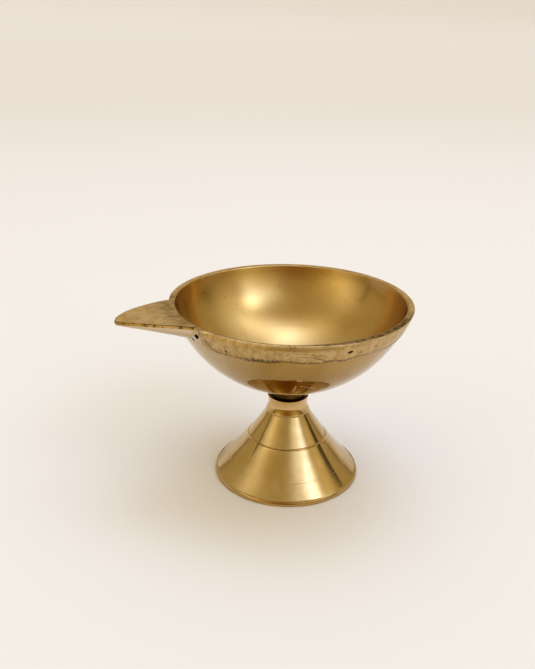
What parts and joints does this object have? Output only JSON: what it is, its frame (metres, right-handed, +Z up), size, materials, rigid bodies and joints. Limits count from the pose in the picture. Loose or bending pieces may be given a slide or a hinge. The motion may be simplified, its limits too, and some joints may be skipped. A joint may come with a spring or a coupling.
{
  "type": "oil lamp",
  "caption": "Small brass oil lamp (diya): hemispherical bowl with a flat leaf-shaped handle at its rim, screwed to a hollow flared pedestal.",
  "frame": {"origin": "on the resting face, at the middle of the lamp's outline seen from above; the turning axis of bowl and pedestal stands 7.75 mm from it along +X", "axes": "+Z up along the turning axis, -X along the handle, +X the lamp's longest way, +Y to the handle's bulging edge"},
  "size_m": [0.0856, 0.07, 0.0552],
  "materials": {
    "cast_brass_bowl": "satin, turned inside and below, hand filed at the rim and handle",
    "brass_rod": "thread cut, unpolished",
    "turned_brass_pedestal": "turned and polished"
  },
  "bodies": {
    "stand": {"pedestal": "turned_brass_pedestal"},
    "stud": {"threaded_stud": "brass_rod"},
    "bowl": {"bowl": "cast_brass_bowl"}
  },
  "joints": [
    {"name": "bowl_turn", "type": "hinge", "parent": "stand", "child": "stud", "pos_m": [0.00775, 0, 0.02545], "axis": [0, 0, 1], "range_deg": [0, 1440]},
    {"name": "bowl_rise", "type": "slide", "parent": "stud", "child": "bowl", "axis": [0, 0, 1], "range_m": [0, 0.00405]}
  ],
  "couplings": [
    {"joint": "bowl_rise", "follows": "bowl_turn", "m_per_rad": 0.00015915}
  ]
}
